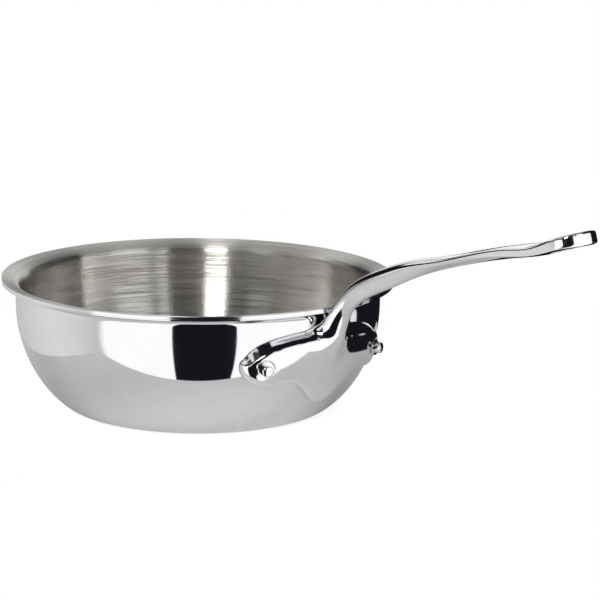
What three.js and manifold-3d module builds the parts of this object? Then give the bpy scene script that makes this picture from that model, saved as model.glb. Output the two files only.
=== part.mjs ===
// Curved-side saute pan in five-ply clad sheet, with a cast handle held on by two rivets.
// Millimetres, +Z up. The origin is the centre of the base, on the surface that the pan stands on,
// and the handle points along +X.
import * as THREE from "three";
import { mergeVertices } from "three/addons/utils/BufferGeometryUtils.js";
import Module from "manifold-3d";

// Pan body, measured on its outside
const LIP_DIAMETER = 216;
const WALL_DIAMETER = 201;
const BASE_DIAMETER = 139;
const PAN_HEIGHT = 72;
const SIDE_CURVE_HEIGHT = 57.5; // where the curved side has become upright
const SIDE_CURVE_FOOT = 6; // how far the base's level runs on into the curve
const SIDE_CURVE_HEAD = 37; // how far the wall's upright runs on into the curve
const LIP_BEND_RADIUS = 4; // under the lip
const LIP_RISE_DEG = 12;

// Plies of the sheet, from the outside of the pan to the inside
const PLIES = [
  { name: "outer_steel_skin", thick: 0.5, color: 0xc9cacc, roughness: 0.08 },
  { name: "outer_alloy_ply", thick: 0.35, color: 0xb4b6ba, roughness: 0.4 },
  { name: "aluminium_core", thick: 0.9, color: 0xc4c6ca, roughness: 0.4 },
  { name: "inner_alloy_ply", thick: 0.35, color: 0xb4b6ba, roughness: 0.4 },
  { name: "inner_steel_skin", thick: 0.5, color: 0xaaa8a4, roughness: 0.3 },
];

// Handle stations from the lip outwards. Each gives the middle of a section by its distance beyond
// the lip's edge and its height above the lip's top, and the section's width and thickness.
const NECK = { out: 4.2, up: -2.3, wide: 13.6, thick: 9.6 };
const SHOULDER = { out: 18.5, up: 11.6, wide: 13, thick: 10.4 };
const BACK = { out: 34.4, up: 19.5, wide: 13.5, thick: 11 };
const SPINE = { out: 51.9, up: 27, wide: 14.3, thick: 9.4 };
const TAPER = { out: 75.6, up: 34.4, wide: 17.4, thick: 6.4 };
const GRIP = { out: 98.9, up: 41.1, wide: 20.6, thick: 5.9 };
const WAIST = { out: 124, up: 47.2, wide: 23.8, thick: 5.9 };
const HEEL = { out: 140, up: 50.7, wide: 25.1, thick: 5.4 };
const CREST = { out: 152, up: 55.4, wide: 26.2, thick: 6.4 };
const TIP = { out: 164.4, up: 59.6, wide: 27.4, thick: 7 };
const TIP_ROUND = 12; // length over which the tip's plan is rounded off
const TOP_SQUARENESS = 4; // how square the section is above its middle, 2 being an ellipse
const UNDERSIDE_SQUARENESS = 2.6;

// Root of the handle, inside the flange
const ROOT = { drop: 17.5, wide: 18, thick: 14 };
const ROOT_RISE_DEG = 50;

// Hanging eye
const EYE_WIDTH = 9;
const EYE_LENGTH = 18;
const EYE_FROM_TIP = 17; // to the middle of the eye

// Flange that spreads the handle over the wall. Its outline is drawn flat, by how far each turning
// point is across from the handle's middle and how far it drops below the lip's top.
const FLANGE_TOP = { across: 22, drop: 13.2 };
const ARM_SHOULDER = { across: 46.5, drop: 19.4 };
const ARM_END = { across: 55.2, drop: 28.2 };
const ARM_CHIN = { across: 51.2, drop: 36 };
const ARM_FOOT = { across: 39.5, drop: 40 };
const ARM_CROTCH = { across: 26.5, drop: 39 };
const SHIELD_TOP = { across: 19.6, drop: 41.2 };
const SHIELD_SIDE = { across: 15.2, drop: 44.6 };
const SHIELD_CORNER = { across: 8.2, drop: 50.6 };
const SHIELD_BOTTOM_DROP = 54;
const FLANGE_THICK = 6.3; // at the arms
const SHIELD_THICK = 7; // at the shield's lower edge
const ARM_END_THICK = 4;
const ARM_CHIN_THICK = 5.6;
const FLANGE_EDGE_BEVEL = 1.2;
const FLANGE_TOP_BEVEL = 3.6;

// Rivets
const RIVET_SPACING = 80.6;
const RIVET_DROP = 30.3; // below the lip's top
const SHANK_DIAMETER = 5.5;
const INNER_HEAD_DIAMETER = 11;
const INNER_HEAD_HEIGHT = 2;
const BRIM_DIAMETER = 8.4;
const BRIM_HEIGHT = 1;
const BUTTON_DIAMETER = 6;
const BUTTON_HEIGHT = 3.8;
const SEAT_DIAMETER = 10.4; // flat seat sunk into the flange under the rivet's brim
const SEAT_DEPTH = 0.5;

const FIT_GAP = 0.3; // between pieces that seat on each other
const BOND_GAP = 0.02; // between neighbouring plies
const INTO_WALL = 6; // how far the handle's blank reaches into the wall before it is trimmed

// Facets
const ROUND_SEGMENTS = 48;
const SIDE_STEPS = 6;
const LIP_STEPS = 2;
const SECTION_POINTS = 16;
const HANDLE_STEPS = 32;
const TIP_STEPS = 6;
const OUTLINE_POINTS = 112;
const FLANGE_COLUMNS = 40;
const RIVET_SEGMENTS = 20;
const DOME_STEPS = 4;
const EYE_STEPS = 8;
const HALVINGS = 30; // in finding a height on the side's curve
const MERGE_DISTANCE = 1e-4;

// Worked out from the sizes above
const LIP_RADIUS = LIP_DIAMETER / 2;
const WALL_RADIUS = WALL_DIAMETER / 2;
const BASE_RADIUS = BASE_DIAMETER / 2;
const LIP_RISE = THREE.MathUtils.degToRad(LIP_RISE_DEG);
const ROOT_RISE = THREE.MathUtils.degToRad(ROOT_RISE_DEG);
const SHEET_THICK = PLIES.reduce((sum, ply) => sum + ply.thick + BOND_GAP, -BOND_GAP);
const LIP_UNDERSIDE = PAN_HEIGHT - SHEET_THICK / Math.cos(LIP_RISE);
const BEND_CENTRE = new THREE.Vector2(WALL_RADIUS + LIP_BEND_RADIUS, 0);
BEND_CENTRE.y =
  LIP_UNDERSIDE -
  (LIP_RADIUS - BEND_CENTRE.x + LIP_BEND_RADIUS * Math.sin(LIP_RISE)) * Math.tan(LIP_RISE) -
  LIP_BEND_RADIUS * Math.cos(LIP_RISE);

const wasm = await Module();
wasm.setup();

// A closed geometry as a solid that can be joined and cut.
function solidOf(geometry) {
  const bare = new THREE.BufferGeometry();
  bare.setAttribute("position", geometry.getAttribute("position"));
  bare.setIndex(geometry.index);
  const merged = mergeVertices(bare, MERGE_DISTANCE);
  const corners = merged.index.array;
  const triangles = [];
  for (let i = 0; i < corners.length; i += 3) {
    const [a, b, c] = corners.slice(i, i + 3);
    if (a !== b && b !== c && c !== a) triangles.push(a, b, c);
  }
  return new wasm.Manifold(
    new wasm.Mesh({
      numProp: 3,
      vertProperties: merged.attributes.position.array,
      triVerts: new Uint32Array(triangles),
    }),
  );
}

// A solid back as a geometry.
function geometryOf(solid) {
  const mesh = solid.getMesh();
  const geometry = new THREE.BufferGeometry();
  geometry.setAttribute("position", new THREE.BufferAttribute(mesh.vertProperties, mesh.numProp));
  geometry.setIndex(new THREE.BufferAttribute(mesh.triVerts, 1));
  geometry.computeVertexNormals();
  return geometry;
}

// A profile of (radius, height) points turned about +Z.
function turned(profile, segments) {
  return new THREE.LatheGeometry(profile, segments).rotateX(Math.PI / 2);
}

// A skin through rings of points, closed by a fan at each end.
function loft(rings) {
  const count = rings[0].length;
  const points = rings.flat();
  const triangles = [];
  for (let i = 0; i + 1 < rings.length; i++) {
    for (let j = 0; j < count; j++) {
      const a = i * count + j;
      const b = i * count + ((j + 1) % count);
      triangles.push(a, b, b + count, a, b + count, a + count);
    }
  }
  const ends = [rings[0].toReversed(), rings.at(-1)];
  for (const ring of ends) {
    const hub = points.length;
    const middle = new THREE.Vector3();
    ring.forEach((p) => middle.addScaledVector(p, 1 / count));
    points.push(middle, ...ring);
    for (let j = 0; j < count; j++) {
      triangles.push(hub, hub + 1 + j, hub + 1 + ((j + 1) % count));
    }
  }
  return new THREE.BufferGeometry().setFromPoints(points).setIndex(triangles);
}

// Pan body

const sideCurve = new THREE.CubicBezierCurve(
  new THREE.Vector2(BASE_RADIUS, 0),
  new THREE.Vector2(BASE_RADIUS + SIDE_CURVE_FOOT, 0),
  new THREE.Vector2(WALL_RADIUS, SIDE_CURVE_HEIGHT - SIDE_CURVE_HEAD),
  new THREE.Vector2(WALL_RADIUS, SIDE_CURVE_HEIGHT),
);

// The surface that lies a depth inside the pan's outside, from the axis to the lip's edge.
function sheetLine(depth, edgeRadius = LIP_RADIUS) {
  const line = [new THREE.Vector2(0, depth), new THREE.Vector2(BASE_RADIUS, depth)];
  for (let i = 1; i <= SIDE_STEPS; i++) {
    const at = sideCurve.getPoint(i / SIDE_STEPS);
    const along = sideCurve.getTangent(i / SIDE_STEPS);
    line.push(new THREE.Vector2(at.x - along.y * depth, at.y + along.x * depth));
  }
  const bend = LIP_BEND_RADIUS + depth;
  for (let i = 0; i <= LIP_STEPS; i++) {
    const turn = ((Math.PI / 2 - LIP_RISE) * i) / LIP_STEPS;
    line.push(new THREE.Vector2(-Math.cos(turn), Math.sin(turn)).multiplyScalar(bend).add(BEND_CENTRE));
  }
  const rise = (edgeRadius - LIP_RADIUS) * Math.tan(LIP_RISE);
  line.push(new THREE.Vector2(edgeRadius, LIP_UNDERSIDE + depth / Math.cos(LIP_RISE) + rise));
  return line;
}

// One ply of the sheet, between two depths.
function plyGeometry(depth, thick) {
  return turned([...sheetLine(depth), ...sheetLine(depth + thick).reverse()], ROUND_SEGMENTS);
}

// All the room that the pan takes up, with its hollow filled, grown by a gap.
function panRoom(gap) {
  const edge = LIP_RADIUS + gap;
  const top = [new THREE.Vector2(edge, PAN_HEIGHT + gap), new THREE.Vector2(0, PAN_HEIGHT + gap)];
  return solidOf(turned([...sheetLine(-gap, edge), ...top], ROUND_SEGMENTS));
}

// The hollow inside the pan, shrunk from the sheet by a gap.
function panHollow(gap) {
  const middle = new THREE.Vector2(0, PAN_HEIGHT + gap);
  return solidOf(turned([...sheetLine(SHEET_THICK + gap), middle], ROUND_SEGMENTS));
}

// The radius of the wall's outside at a height.
function wallRadius(height) {
  let low = 0;
  let high = 1;
  for (let i = 0; i < HALVINGS; i++) {
    const middle = (low + high) / 2;
    if (sideCurve.getPoint(middle).y < height) low = middle;
    else high = middle;
  }
  return sideCurve.getPoint(high).x;
}

// Rivets

const rivetHeight = PAN_HEIGHT - RIVET_DROP;
const rivetRadius = wallRadius(rivetHeight);
const faceRadius = rivetRadius + FLANGE_THICK;
const rivetAngle = Math.asin(RIVET_SPACING / 2 / faceRadius);
const seatFace = FLANGE_THICK - SEAT_DEPTH;

// Axes whose +Z is a rivet's axis, pointing outwards, with their origin on the wall's outside.
function rivetPlace(side) {
  const turn = new THREE.Euler(0, Math.PI / 2, side * rivetAngle, "ZYX");
  const at = new THREE.Vector3(Math.cos(rivetAngle), side * Math.sin(rivetAngle), 0);
  at.multiplyScalar(rivetRadius).setZ(rivetHeight);
  return new THREE.Matrix4().makeRotationFromEuler(turn).setPosition(at);
}

// A dome's profile from its rim to the axis.
function dome(diameter, foot, height) {
  return Array.from({ length: DOME_STEPS + 1 }, (_, i) => {
    const turn = ((Math.PI / 2) * i) / DOME_STEPS;
    return new THREE.Vector2((diameter / 2) * Math.cos(turn), foot + height * Math.sin(turn));
  });
}

// A plain round bar along a rivet's axis, for cutting.
function bar(place, diameter, from, to) {
  const rim = diameter / 2;
  const profile = [[0, from], [rim, from], [rim, to], [0, to]].map((p) => new THREE.Vector2(...p));
  return solidOf(turned(profile, RIVET_SEGMENTS).applyMatrix4(place));
}

// A rivet: the inner head's foot follows the wall, and the outer end is formed into a brimmed button.
function rivetSolid(place) {
  const headFoot = -SHEET_THICK;
  const headTop = headFoot - FIT_GAP - INNER_HEAD_HEIGHT;
  const brimFoot = seatFace + FIT_GAP;
  const head = [...dome(INNER_HEAD_DIAMETER, headFoot, headTop - headFoot).reverse()];
  head.push(new THREE.Vector2(0, headFoot));
  const button = [
    new THREE.Vector2(0, brimFoot),
    new THREE.Vector2(BRIM_DIAMETER / 2, brimFoot),
    new THREE.Vector2(BRIM_DIAMETER / 2, brimFoot + BRIM_HEIGHT),
    ...dome(BUTTON_DIAMETER, brimFoot + BRIM_HEIGHT, BUTTON_HEIGHT),
  ];
  const [headSolid, buttonSolid] = [head, button].map((profile) =>
    solidOf(turned(profile, RIVET_SEGMENTS).applyMatrix4(place)),
  );
  const shank = bar(place, SHANK_DIAMETER, (headFoot + headTop) / 2, brimFoot + BRIM_HEIGHT / 2);
  return headSolid.intersect(panHollow(FIT_GAP)).add(shank).add(buttonSolid);
}

const rivetPlaces = { rivet_left: rivetPlace(1), rivet_right: rivetPlace(-1) };

// A piece with the holes that the rivets' shanks pass through.
function drilled(piece) {
  const reach = SHEET_THICK + 2 * FLANGE_THICK;
  return Object.values(rivetPlaces).reduce(
    (rest, place) => rest.subtract(bar(place, SHANK_DIAMETER + 2 * FIT_GAP, -reach, reach)),
    piece,
  );
}

// Handle

const rootAt = new THREE.Vector3(WALL_RADIUS + FLANGE_THICK / 2, 0, PAN_HEIGHT - ROOT.drop);
const rootAlong = new THREE.Vector3(Math.cos(ROOT_RISE), 0, Math.sin(ROOT_RISE));
const stations = [
  { ...ROOT, at: rootAt.clone().addScaledVector(rootAlong, -FLANGE_THICK - INTO_WALL) },
  { ...ROOT, at: rootAt },
  ...[NECK, SHOULDER, BACK, SPINE, TAPER, GRIP, WAIST, HEEL, CREST, TIP].map((station) => ({
    ...station,
    at: new THREE.Vector3(LIP_RADIUS + station.out, 0, PAN_HEIGHT + station.up),
  })),
];
const handleLine = new THREE.CatmullRomCurve3(stations.map((station) => station.at));
const handleLength = handleLine.getLength();

// A width or thickness at a place along the handle, eased from each station to the next.
function sizeAt(key, t) {
  const place = t * (stations.length - 1);
  const index = Math.min(Math.floor(place), stations.length - 2);
  const ease = THREE.MathUtils.smoothstep(place - index, 0, 1);
  return THREE.MathUtils.lerp(stations[index][key], stations[index + 1][key], ease);
}

// Axes at a distance along the handle: along it, across it and out of its top.
function handleAxes(distance) {
  const along = handleLine.getTangentAt(distance / handleLength);
  const across = new THREE.Vector3(0, 1, 0);
  const axes = new THREE.Matrix4().makeBasis(along, across, along.clone().cross(across));
  return axes.setPosition(handleLine.getPointAt(distance / handleLength));
}

// One section of the handle, with a squarer top and a fuller underside.
function handleSection(distance, narrowing) {
  const t = handleLine.getUtoTmapping(distance / handleLength);
  const wide = (sizeAt("wide", t) * narrowing) / 2;
  const thick = sizeAt("thick", t) / 2;
  const axes = handleAxes(distance);
  return Array.from({ length: SECTION_POINTS }, (_, i) => {
    const turn = (2 * Math.PI * (i + 0.5)) / SECTION_POINTS;
    const power = 2 / (turn < Math.PI ? TOP_SQUARENESS : UNDERSIDE_SQUARENESS);
    const squared = (v) => Math.sign(v) * Math.abs(v) ** power;
    const point = new THREE.Vector3(0, wide * squared(Math.cos(turn)), thick * squared(Math.sin(turn)));
    return point.applyMatrix4(axes);
  });
}

function stemGeometry() {
  const straight = handleLength - TIP_ROUND;
  const rings = [];
  for (let i = 0; i <= HANDLE_STEPS; i++) rings.push(handleSection((straight * i) / HANDLE_STEPS, 1));
  for (let i = 1; i <= TIP_STEPS; i++) {
    const turn = (Math.PI * i) / (2 * TIP_STEPS + 1);
    rings.push(handleSection(straight + TIP_ROUND * Math.sin(turn), Math.cos(turn)));
  }
  return loft(rings);
}

function eyeGeometry() {
  const run = (EYE_LENGTH - EYE_WIDTH) / 2;
  const slot = new THREE.Shape();
  slot.absarc(run, 0, EYE_WIDTH / 2, -Math.PI / 2, Math.PI / 2);
  slot.absarc(-run, 0, EYE_WIDTH / 2, Math.PI / 2, (3 * Math.PI) / 2);
  const depth = 4 * TIP.thick;
  const eye = new THREE.ExtrudeGeometry(slot, { depth, bevelEnabled: false, curveSegments: EYE_STEPS });
  return eye.translate(0, 0, -depth / 2).applyMatrix4(handleAxes(handleLength - EYE_FROM_TIP));
}

// The flange's outline, drawn flat round both sides.
function flangeOutline() {
  const shield = [SHIELD_CORNER, SHIELD_SIDE, SHIELD_TOP];
  const arm = [ARM_CROTCH, ARM_FOOT, ARM_CHIN, ARM_END, ARM_SHOULDER, FLANGE_TOP];
  const half = [...shield, ...arm];
  const points = [
    new THREE.Vector3(0, -SHIELD_BOTTOM_DROP, 0),
    ...half.map((p) => new THREE.Vector3(p.across, -p.drop, 0)),
    ...half.toReversed().map((p) => new THREE.Vector3(-p.across, -p.drop, 0)),
  ];
  return new THREE.CatmullRomCurve3(points, true).getPoints(OUTLINE_POINTS);
}

const outline = flangeOutline();

// The flange's lower and upper edge at a place across.
function flangeSpan(across) {
  const crossings = [];
  for (let i = 0; i + 1 < outline.length; i++) {
    const [a, b] = [outline[i], outline[i + 1]];
    if (a.x <= across !== b.x <= across) crossings.push(a.clone().lerp(b, (across - a.x) / (b.x - a.x)).y);
  }
  return [Math.min(...crossings), Math.max(...crossings)];
}

// How far the flange's face stands off the wall, which curves away under it, down the shield and
// out to the arms' ends.
function faceStandoff(across, drop) {
  const { lerp, smoothstep } = THREE.MathUtils;
  const middle = lerp(FLANGE_THICK, SHIELD_THICK, smoothstep(drop, RIVET_DROP, SHIELD_BOTTOM_DROP));
  const end = lerp(ARM_END_THICK, ARM_CHIN_THICK, smoothstep(drop, ARM_END.drop, ARM_CHIN.drop));
  return lerp(middle, end, smoothstep(Math.abs(across), RIVET_SPACING / 2, ARM_END.across));
}

// A column of the flange: its section up the wall, from the top edge's root round to the lower edge's.
function flangeColumn(across) {
  const [low, high] = flangeSpan(across);
  const middle = (low + high) / 2;
  const bevel = Math.min(FLANGE_EDGE_BEVEL, (high - low) / 4);
  const topBevel = Math.min(FLANGE_TOP_BEVEL, (high - low) / 3);
  const [lowFace, middleFace, highFace] = [low, middle, high].map((up) => faceStandoff(across, -up));
  const section = [
    [high, -INTO_WALL],
    [high, highFace - topBevel],
    [high - topBevel, highFace],
    [middle, middleFace],
    [low + bevel, lowFace],
    [low, lowFace - bevel],
    [low, -INTO_WALL],
  ];
  const angle = across / faceRadius;
  return section.map(([up, out]) => {
    const radius = wallRadius(PAN_HEIGHT + up) + out;
    return new THREE.Vector3(radius * Math.cos(angle), radius * Math.sin(angle), PAN_HEIGHT + up);
  });
}

function flangeGeometry() {
  const widest = Math.max(...outline.map((p) => p.x));
  const columns = Array.from({ length: FLANGE_COLUMNS }, (_, i) =>
    flangeColumn(-widest * Math.cos((Math.PI * (i + 0.5)) / FLANGE_COLUMNS)),
  );
  return loft(columns);
}

function handleGeometry() {
  const casting = solidOf(stemGeometry()).add(solidOf(flangeGeometry()));
  const trimmed = casting.subtract(panRoom(FIT_GAP)).subtract(solidOf(eyeGeometry()));
  const seated = Object.values(rivetPlaces).reduce(
    (rest, place) => rest.subtract(bar(place, SEAT_DIAMETER, seatFace, seatFace + FLANGE_THICK)),
    trimmed,
  );
  return geometryOf(drilled(seated));
}

// Assembly

function piece(name, geometry, color, roughness) {
  const finish = new THREE.MeshStandardMaterial({ color, roughness, metalness: 1 });
  const mesh = new THREE.Mesh(geometry, finish);
  mesh.name = name;
  return mesh;
}

const CAST_STEEL = [0xc6c7ca, 0.1];

const pan = new THREE.Group();
pan.name = "saute_pan";

let depth = 0;
for (const ply of PLIES) {
  const sheet = drilled(solidOf(plyGeometry(depth, ply.thick)));
  pan.add(piece(ply.name, geometryOf(sheet), ply.color, ply.roughness));
  depth += ply.thick + BOND_GAP;
}

pan.add(piece("handle", handleGeometry(), ...CAST_STEEL));

for (const [name, place] of Object.entries(rivetPlaces)) {
  pan.add(piece(name, geometryOf(rivetSolid(place)), ...CAST_STEEL));
}

export default pan;
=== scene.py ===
# Curved-side saute pan in clad sheet, mirror-polished outside and brushed inside, with a cast handle.
# Metres, +Z up. The origin is the centre of the base and the handle points along +X.
import math

import bpy
import numpy as np
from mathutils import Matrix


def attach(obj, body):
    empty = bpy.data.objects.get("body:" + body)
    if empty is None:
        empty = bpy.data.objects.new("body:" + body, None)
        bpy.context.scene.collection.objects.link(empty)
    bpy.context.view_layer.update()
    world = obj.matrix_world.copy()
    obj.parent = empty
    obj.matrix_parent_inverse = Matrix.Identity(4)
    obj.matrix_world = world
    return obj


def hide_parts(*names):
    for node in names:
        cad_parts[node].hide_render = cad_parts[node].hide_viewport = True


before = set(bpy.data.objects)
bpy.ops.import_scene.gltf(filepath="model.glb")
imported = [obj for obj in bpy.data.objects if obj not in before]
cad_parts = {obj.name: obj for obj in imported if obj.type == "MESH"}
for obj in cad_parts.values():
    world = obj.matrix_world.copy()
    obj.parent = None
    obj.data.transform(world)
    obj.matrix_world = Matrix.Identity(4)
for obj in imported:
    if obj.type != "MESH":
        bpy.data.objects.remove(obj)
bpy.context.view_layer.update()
MM = 0.001

# Clad sheet of the pan
# One disc of five bonded plies, drawn and spun to a curved side with a flared lip: steel skins, thin
# alloy plies under them and an aluminium core. The plies show only along the lip's cut edge.

# The lip stops a thousandth short of 108 mm, which keeps it inside the solid's own box.
LIP_RADIUS = 107.999
WALL_RADIUS = 100.5
BASE_RADIUS = 69.5
PAN_HEIGHT = 72.0
SIDE_CURVE_HEIGHT = 57.5
SIDE_CURVE_FOOT = 6.0
SIDE_CURVE_HEAD = 37.0
LIP_BEND_RADIUS = 4.0
LIP_RISE = math.radians(12)
SHEET_THICK = 2.68
BOND_GAP = 0.02
LIP_UNDERSIDE = PAN_HEIGHT - SHEET_THICK / math.cos(LIP_RISE)
LIP_REACH = LIP_RADIUS - WALL_RADIUS - LIP_BEND_RADIUS + LIP_BEND_RADIUS * math.sin(LIP_RISE)
BEND_CENTRE = (
    WALL_RADIUS + LIP_BEND_RADIUS,
    LIP_UNDERSIDE - LIP_REACH * math.tan(LIP_RISE) - LIP_BEND_RADIUS * math.cos(LIP_RISE),
)
ROUND_STEPS = 256
SIDE_STEPS = 64
BASE_STEPS = 20
BEND_STEPS = 13
STRAIGHT_STEPS = 4
AXIS_RADIUS = 0.00001
WELD = 0.05
SHARP_EDGE = math.radians(40)


def node(tree, kind, inputs=None, **settings):
    """A node whose inputs take values or other nodes' sockets."""
    made = tree.nodes.new(kind)
    for name, value in settings.items():
        setattr(made, name, value)
    for name, value in (inputs or {}).items():
        if isinstance(value, bpy.types.NodeSocket):
            tree.links.new(value, made.inputs[name])
        else:
            made.inputs[name].default_value = value
    return made


def new_tree(name, sizes):
    """An empty geometry tree with named size inputs. Returns it with its input sockets by name."""
    tree = bpy.data.node_groups.new(name, "GeometryNodeTree")
    tree.interface.new_socket("Geometry", in_out="OUTPUT", socket_type="NodeSocketGeometry")
    kinds = {float: "NodeSocketFloat", int: "NodeSocketInt", bpy.types.Material: "NodeSocketMaterial"}
    for size, value in sizes.items():
        kind = next(socket for base, socket in kinds.items() if isinstance(value, base))
        tree.interface.new_socket(size, in_out="INPUT", socket_type=kind)
    given = tree.nodes.new("NodeGroupInput")
    return tree, {size: given.outputs[size] for size in sizes}


def made_by(tree, name, sizes):
    """The plain mesh object that a tree makes at these sizes."""
    maker = bpy.data.objects.new(name, bpy.data.meshes.new(name))
    bpy.context.collection.objects.link(maker)
    modifier = maker.modifiers.new(name, "NODES")
    modifier.node_group = tree
    for item in tree.interface.items_tree:
        if item.in_out == "INPUT":
            modifier[item.identifier] = sizes[item.name]
    seen = maker.evaluated_get(bpy.context.evaluated_depsgraph_get())
    maker.data = bpy.data.meshes.new_from_object(seen)
    maker.modifiers.remove(modifier)
    maker.data.name = name
    return maker


def calc(tree, operation, a, b=0.0):
    """One step of reckoning with numbers or sockets."""
    return node(tree, "ShaderNodeMath", {0: a, 1: b}, operation=operation).outputs[0]


def spot(tree, radius, height):
    """A place on a profile."""
    return node(tree, "ShaderNodeCombineXYZ", {0: radius, 1: height}).outputs[0]


def join(tree, *parts):
    """Several stretches of profile taken as one."""
    joined = tree.nodes.new("GeometryNodeJoinGeometry")
    for part in parts:
        tree.links.new(part, joined.inputs[0])
    return joined.outputs[0]


def line(tree, start, end, steps=1):
    """A straight stretch of profile in equal steps."""
    drawn = node(tree, "GeometryNodeCurvePrimitiveLine", {"Start": start, "End": end}).outputs[0]
    return node(tree, "GeometryNodeResampleCurve", {"Curve": drawn, "Count": steps + 1}).outputs[0]


def turned(tree, profile, steps):
    """A profile, with its radius along X and its height along Y, turned about +Z and closed."""
    ring = node(tree, "GeometryNodeCurvePrimitiveCircle", {"Resolution": steps, "Radius": AXIS_RADIUS * MM})
    level = node(tree, "GeometryNodeSetCurveNormal", {"Curve": ring.outputs[0]}, mode="Z_UP")
    upright = node(tree, "GeometryNodeTransform", {"Geometry": profile, "Scale": (1.0, -1.0, 1.0)})
    sweep = {"Curve": level.outputs[0], "Profile Curve": upright.outputs[0]}
    swept = node(tree, "GeometryNodeCurveToMesh", sweep)
    welded = {"Geometry": swept.outputs[0], "Distance": WELD * MM}
    merged = node(tree, "GeometryNodeMergeByDistance", welded)
    return node(tree, "GeometryNodeFlipFaces", {"Mesh": merged.outputs[0]}).outputs[0]


def edge_height(tree, size, depth):
    """How high the lip's edge is at a depth into the sheet."""
    slant = calc(tree, "DIVIDE", depth, calc(tree, "COSINE", size["Lip rise"]))
    return calc(tree, "ADD", size["Lip underside"], slant)


def sheet_line(tree, size, depth, steps):
    """The line that lies a depth inside the pan's outside, from the axis to the lip's edge."""
    foot = calc(tree, "ADD", size["Base radius"], size["Curve foot"])
    shoulder = calc(tree, "SUBTRACT", size["Curve height"], size["Curve head"])
    side = node(
        tree,
        "GeometryNodeCurvePrimitiveBezierSegment",
        {
            "Resolution": steps,
            "Start": spot(tree, size["Base radius"], 0.0),
            "Start Handle": spot(tree, foot, 0.0),
            "End Handle": spot(tree, size["Wall radius"], shoulder),
            "End": spot(tree, size["Wall radius"], size["Curve height"]),
        },
    )
    even = node(tree, "GeometryNodeResampleCurve", {"Curve": side.outputs[0], "Count": steps})
    along = node(tree, "ShaderNodeSeparateXYZ", {0: tree.nodes.new("GeometryNodeInputTangent").outputs[0]})
    inwards = spot(tree, calc(tree, "MULTIPLY", along.outputs[1], -1.0), along.outputs[0])
    push = node(tree, "ShaderNodeVectorMath", {0: inwards, "Scale": depth}, operation="SCALE")
    pushed = {"Geometry": even.outputs[0], "Offset": push.outputs[0]}
    curved = node(tree, "GeometryNodeSetPosition", pushed).outputs[0]
    wall = calc(tree, "SUBTRACT", size["Wall radius"], depth)
    foot_end = (1, 0, spot(tree, size["Base radius"], depth))
    wall_end = (0, 1, spot(tree, wall, size["Curve height"]))
    for first, last, place in (foot_end, wall_end):
        picked = {"Start Size": first, "End Size": last}
        end = node(tree, "GeometryNodeCurveEndpointSelection", picked).outputs[0]
        met = {"Geometry": curved, "Selection": end, "Position": place}
        curved = node(tree, "GeometryNodeSetPosition", met).outputs[0]
    bend = calc(tree, "ADD", size["Bend radius"], depth)
    sweep = calc(tree, "SUBTRACT", size["Lip rise"], math.pi / 2)
    arc = node(
        tree,
        "GeometryNodeCurveArc",
        {"Resolution": BEND_STEPS, "Radius": bend, "Start Angle": math.pi, "Sweep Angle": sweep},
        mode="RADIUS",
    )
    centre = spot(tree, size["Bend centre radius"], size["Bend centre height"])
    bent = node(tree, "GeometryNodeTransform", {"Geometry": arc.outputs[0], "Translation": centre})
    lip_turn = calc(tree, "ADD", size["Lip rise"], math.pi / 2)
    lip_radius = calc(tree, "MULTIPLY_ADD", bend, calc(tree, "COSINE", lip_turn))
    lip_height = calc(tree, "MULTIPLY_ADD", bend, calc(tree, "SINE", lip_turn))
    tree.links.new(size["Bend centre radius"], lip_radius.node.inputs[2])
    tree.links.new(size["Bend centre height"], lip_height.node.inputs[2])
    wall_foot = spot(tree, wall, size["Curve height"])
    wall_head = spot(tree, wall, size["Bend centre height"])
    edge = spot(tree, size["Lip radius"], edge_height(tree, size, depth))
    return [
        line(tree, spot(tree, 0.0, depth), spot(tree, size["Base radius"], depth), BASE_STEPS),
        curved,
        line(tree, wall_foot, wall_head, STRAIGHT_STEPS),
        bent.outputs[0],
        line(tree, spot(tree, lip_radius, lip_height), edge, STRAIGHT_STEPS),
    ]


def ply_tree(sizes):
    """A ply: the room between two depths of the sheet, turned round the pan's axis."""
    tree, size = new_tree("Clad ply", sizes)
    deep = calc(tree, "ADD", size["Depth"], size["Thickness"])
    outside = sheet_line(tree, size, size["Depth"], size["Side steps"])
    inside = sheet_line(tree, size, deep, size["Side steps"])
    edge = line(
        tree,
        spot(tree, size["Lip radius"], edge_height(tree, size, size["Depth"])),
        spot(tree, size["Lip radius"], edge_height(tree, size, deep)),
    )
    back = node(tree, "GeometryNodeReverseCurve", {"Curve": join(tree, *inside)})
    profile = join(tree, *outside, edge, back.outputs[0])
    around = turned(tree, profile, size["Round steps"])
    solid = node(tree, "GeometryNodeRealizeInstances", {"Geometry": around})
    smooth = node(tree, "GeometryNodeSetShadeSmooth", {"Geometry": solid.outputs[0]})
    clad = node(tree, "GeometryNodeSetMaterial", {"Geometry": smooth.outputs[0], "Material": size["Finish"]})
    end = tree.nodes.new("NodeGroupOutput")
    tree.links.new(clad.outputs[0], end.inputs[0])
    return tree


def metal(name, colour, roughness):
    """A bare metal and its node tree, to which a section adds its own marks."""
    finish = bpy.data.materials.new(name)
    finish.use_nodes = True
    shader = finish.node_tree.nodes["Principled BSDF"]
    shader.inputs["Metallic"].default_value = 1.0
    shader.inputs["Base Color"].default_value = (*colour, 1.0)
    shader.inputs["Roughness"].default_value = roughness
    return finish, finish.node_tree, shader


# Most of a noise lies between these two values.
NOISE_LOW = 0.32
NOISE_HIGH = 0.68


def noise(tree, place, scale, detail):
    """An even grain over the surface."""
    grain = {"Vector": place, "Scale": scale, "Detail": detail, "Roughness": 0.55}
    return node(tree, "ShaderNodeTexNoise", grain).outputs["Fac"]


def drift(tree, value, low, high):
    """A noise's middle range spread from low to high."""
    spread = {"Value": value, "From Min": NOISE_LOW, "From Max": NOISE_HIGH, "To Min": low, "To Max": high}
    return node(tree, "ShaderNodeMapRange", spread).outputs[0]


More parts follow.
